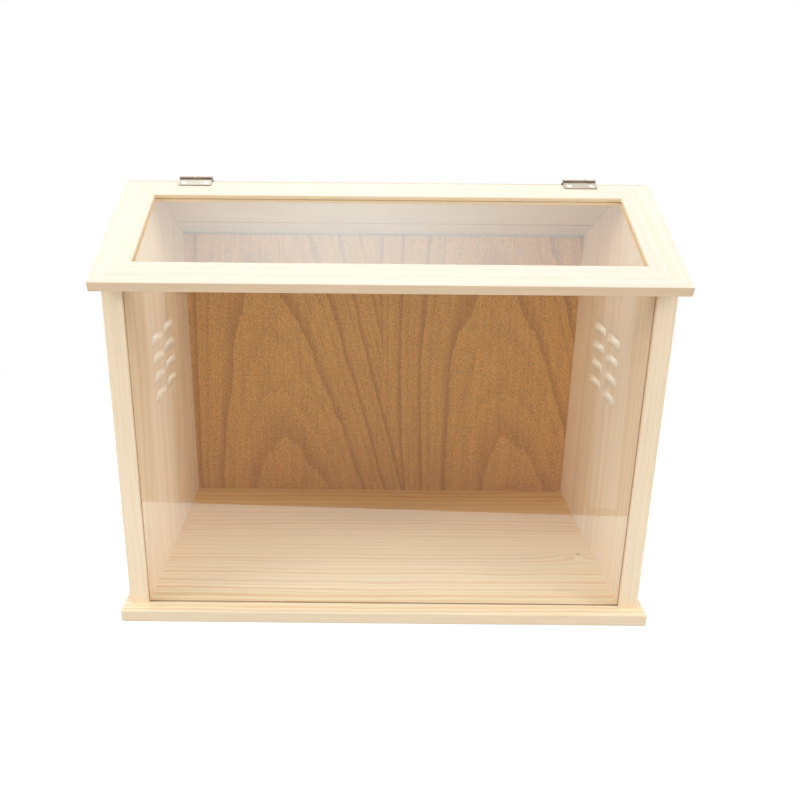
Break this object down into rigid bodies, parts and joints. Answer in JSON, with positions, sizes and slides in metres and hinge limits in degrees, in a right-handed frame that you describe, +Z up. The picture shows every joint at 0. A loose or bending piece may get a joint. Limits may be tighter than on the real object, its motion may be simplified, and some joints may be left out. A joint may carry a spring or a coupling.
{
  "type": "hamster cage",
  "caption": "House-shaped wooden hamster cage with a clear front pane, vented gable sides and a framed clear roof lid hinged at the ridge.",
  "frame": {"origin": "middle of the base board's underside", "axes": "+Z up, front towards -Y, +X to the right as seen from the front"},
  "size_m": [0.4, 0.2516, 0.3191],
  "materials": {
    "pine": "bare sanded pine",
    "lid_pine": "bare sanded pine, the palest boards",
    "plywood": "bare rotary-cut plywood",
    "clear_acrylic": "clear polished acrylic sheet",
    "hinge_steel": "plated pressed steel",
    "fastener_steel": "plated steel"
  },
  "bodies": {
    "carcass": {"base_board": "pine", "left_side_panel": "pine", "right_side_panel": "pine", "back_panel": "plywood", "rear_roof_board": "pine", "left_hinge_roof_leaf": "hinge_steel", "right_hinge_roof_leaf": "hinge_steel", "left_hinge_pin": "hinge_steel", "right_hinge_pin": "hinge_steel", "roof_leaf_screws": "fastener_steel", "base_screws": "fastener_steel", "roof_brads": "fastener_steel"},
    "lid": {"lid_front_rail": "lid_pine", "lid_back_rail": "lid_pine", "lid_left_stile": "lid_pine", "lid_right_stile": "lid_pine", "lid_pane": "clear_acrylic", "left_hinge_lid_leaf": "hinge_steel", "right_hinge_lid_leaf": "hinge_steel", "lid_leaf_screws": "fastener_steel", "lid_corner_nails": "fastener_steel"},
    "front_pane": {"front_pane": "clear_acrylic"}
  },
  "joints": [
    {"name": "lid_hinge", "type": "hinge", "parent": "carcass", "child": "lid", "pos_m": [0, 0, 0.3175], "axis": [-1, 0, 0], "range_deg": [0, 228]},
    {"name": "front_pane_lift", "type": "slide", "parent": "carcass", "child": "front_pane", "axis": [0, 0, 1], "range_m": [0, 0.003]}
  ]
}
